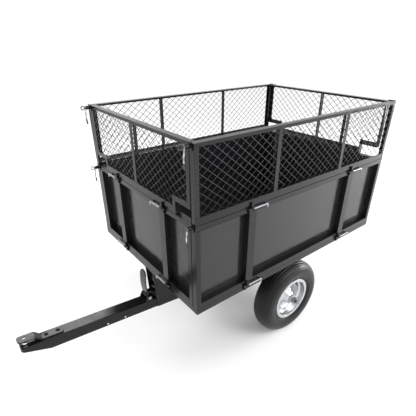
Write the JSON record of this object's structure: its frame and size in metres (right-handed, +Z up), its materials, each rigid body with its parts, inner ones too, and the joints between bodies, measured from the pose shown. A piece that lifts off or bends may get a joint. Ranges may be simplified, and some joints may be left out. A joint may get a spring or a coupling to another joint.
{
  "type": "tow behind cart",
  "caption": "Two-wheeled tow behind tipping cart with solid lower sides, fold-down mesh upper sides and a channel tongue with a clevis hitch.",
  "frame": {"origin": "middle of the whole cart's footprint, on the ground", "axes": "+X forward towards the hitch, +Y to the cart's left, +Z up"},
  "size_m": [1.8042, 0.849, 1.1405],
  "materials": {
    "powder_coat": "gloss black powder coat on folded steel",
    "skin": "gloss black powder coat on flat steel sheet",
    "mesh": "satin black powder coat on expanded steel",
    "floor": "satin black powder coat on steel sheet",
    "zinc": "bright zinc plated steel",
    "lock_pin": "black plated steel",
    "rim": "silver painted pressed steel",
    "bearing": "ground steel",
    "tyre": "black rubber, ribbed tread",
    "rubber": "moulded black rubber",
    "bush": "black nylon",
    "lanyard": "grey plastic coated steel cable"
  },
  "bodies": {
    "chassis": {"tongue": "powder_coat", "hitch_strap": "powder_coat", "axle": "powder_coat", "axle_washers": "zinc", "axle_nuts": "zinc", "bed_rest_pad": "rubber", "lever_bracket": "powder_coat", "lever_bolt": "zinc"},
    "bed": {"bed_frame": "powder_coat", "bed_floor": "floor", "bed_hinge_pins": "zinc", "bed_side_plates": "powder_coat", "bed_cover_plate": "powder_coat", "latch_striker_bar": "zinc", "pivot_bushes": "bush"},
    "lever": {"dump_lever": "powder_coat"},
    "left_wheel": {"left_tyre": "tyre", "left_rim": "rim", "left_wheel_bearings": "bearing"},
    "right_wheel": {"right_tyre": "tyre", "right_rim": "rim", "right_wheel_bearings": "bearing"},
    "left_panel": {"left_panel_frame": "powder_coat", "left_panel_skin": "skin", "left_mesh_hinge_pins": "zinc"},
    "left_mesh": {"left_mesh_frame": "powder_coat", "left_mesh_sheet": "mesh"},
    "right_panel": {"right_panel_frame": "powder_coat", "right_panel_skin": "skin", "right_mesh_hinge_pins": "zinc"},
    "right_mesh": {"right_mesh_frame": "powder_coat", "right_mesh_sheet": "mesh"},
    "front_panel": {"front_panel_frame": "powder_coat", "front_panel_skin": "skin", "front_mesh_hinge_pins": "zinc"},
    "front_mesh": {"front_mesh_frame": "powder_coat", "front_mesh_sheet": "mesh"},
    "rear_panel": {"rear_panel_frame": "powder_coat", "rear_panel_skin": "skin", "rear_mesh_hinge_pins": "zinc"},
    "rear_mesh": {"rear_mesh_frame": "powder_coat", "rear_mesh_sheet": "mesh"},
    "front_left_lower_pin": {"front_left_lower_pin": "lock_pin", "front_left_lower_lanyard": "lanyard"},
    "front_left_upper_pin": {"front_left_upper_pin": "lock_pin", "front_left_upper_lanyard": "lanyard"},
    "front_right_lower_pin": {"front_right_lower_pin": "lock_pin", "front_right_lower_lanyard": "lanyard"},
    "front_right_upper_pin": {"front_right_upper_pin": "lock_pin", "front_right_upper_lanyard": "lanyard"},
    "rear_left_lower_pin": {"rear_left_lower_pin": "lock_pin", "rear_left_lower_lanyard": "lanyard"},
    "rear_left_upper_pin": {"rear_left_upper_pin": "lock_pin"},
    "rear_right_lower_pin": {"rear_right_lower_pin": "lock_pin", "rear_right_lower_lanyard": "lanyard"},
    "rear_right_upper_pin": {"rear_right_upper_pin": "lock_pin"}
  },
  "joints": [
    {"name": "left_wheel_spin", "type": "hinge", "parent": "chassis", "child": "left_wheel", "pos_m": [-0.30461, 0.335, 0.203], "axis": [0, 1, 0], "continuous": true},
    {"name": "right_wheel_spin", "type": "hinge", "parent": "chassis", "child": "right_wheel", "pos_m": [-0.30461, -0.335, 0.203], "axis": [0, 1, 0], "continuous": true},
    {"name": "bed_tilt", "type": "hinge", "parent": "chassis", "child": "bed", "pos_m": [-0.30461, 0, 0.203], "axis": [0, -1, 0], "range_deg": [0, 42]},
    {"name": "dump_lever_swing", "type": "hinge", "parent": "chassis", "child": "lever", "pos_m": [0.33139, 0, 0.30633], "axis": [0, 1, 0], "range_deg": [0, 25], "stiffness_Nm_per_rad": 1, "springref_deg": -20.05},
    {"name": "left_panel_fold", "type": "hinge", "parent": "bed", "child": "left_panel", "pos_m": [-0.26661, 0.418, 0.496], "axis": [-1, 0, 0], "range_deg": [0, 90]},
    {"name": "left_mesh_fold", "type": "hinge", "parent": "left_panel", "child": "left_mesh", "pos_m": [-0.26661, 0.418, 0.8515], "axis": [-1, 0, 0], "range_deg": [0, 170]},
    {"name": "right_panel_fold", "type": "hinge", "parent": "bed", "child": "right_panel", "pos_m": [-0.26661, -0.418, 0.496], "axis": [1, 0, 0], "range_deg": [0, 90]},
    {"name": "right_mesh_fold", "type": "hinge", "parent": "right_panel", "child": "right_mesh", "pos_m": [-0.26661, -0.418, 0.8515], "axis": [1, 0, 0], "range_deg": [0, 170]},
    {"name": "front_panel_fold", "type": "hinge", "parent": "bed", "child": "front_panel", "pos_m": [0.33389, 0, 0.496], "axis": [0, 1, 0], "range_deg": [0, 90]},
    {"name": "front_mesh_fold", "type": "hinge", "parent": "front_panel", "child": "front_mesh", "pos_m": [0.33389, 0, 0.8515], "axis": [0, 1, 0], "range_deg": [0, 170]},
    {"name": "rear_panel_fold", "type": "hinge", "parent": "bed", "child": "rear_panel", "pos_m": [-0.86711, 0, 0.496], "axis": [0, -1, 0], "range_deg": [0, 90]},
    {"name": "rear_mesh_fold", "type": "hinge", "parent": "rear_panel", "child": "rear_mesh", "pos_m": [-0.86711, 0, 0.8515], "axis": [0, -1, 0], "range_deg": [0, 170]},
    {"name": "front_left_lower_pin_pull", "type": "slide", "parent": "front_panel", "child": "front_left_lower_pin", "axis": [1, 0, 0], "range_m": [0, 0.035]},
    {"name": "front_left_upper_pin_pull", "type": "slide", "parent": "front_mesh", "child": "front_left_upper_pin", "axis": [1, 0, 0], "range_m": [0, 0.035]},
    {"name": "front_right_lower_pin_pull", "type": "slide", "parent": "front_panel", "child": "front_right_lower_pin", "axis": [1, 0, 0], "range_m": [0, 0.035]},
    {"name": "front_right_upper_pin_pull", "type": "slide", "parent": "front_mesh", "child": "front_right_upper_pin", "axis": [1, 0, 0], "range_m": [0, 0.035]},
    {"name": "rear_left_lower_pin_pull", "type": "slide", "parent": "rear_panel", "child": "rear_left_lower_pin", "axis": [-1, 0, 0], "range_m": [0, 0.035]},
    {"name": "rear_left_upper_pin_pull", "type": "slide", "parent": "rear_mesh", "child": "rear_left_upper_pin", "axis": [-1, 0, 0], "range_m": [0, 0.035]},
    {"name": "rear_right_lower_pin_pull", "type": "slide", "parent": "rear_panel", "child": "rear_right_lower_pin", "axis": [-1, 0, 0], "range_m": [0, 0.035]},
    {"name": "rear_right_upper_pin_pull", "type": "slide", "parent": "rear_mesh", "child": "rear_right_upper_pin", "axis": [-1, 0, 0], "range_m": [0, 0.035]}
  ]
}
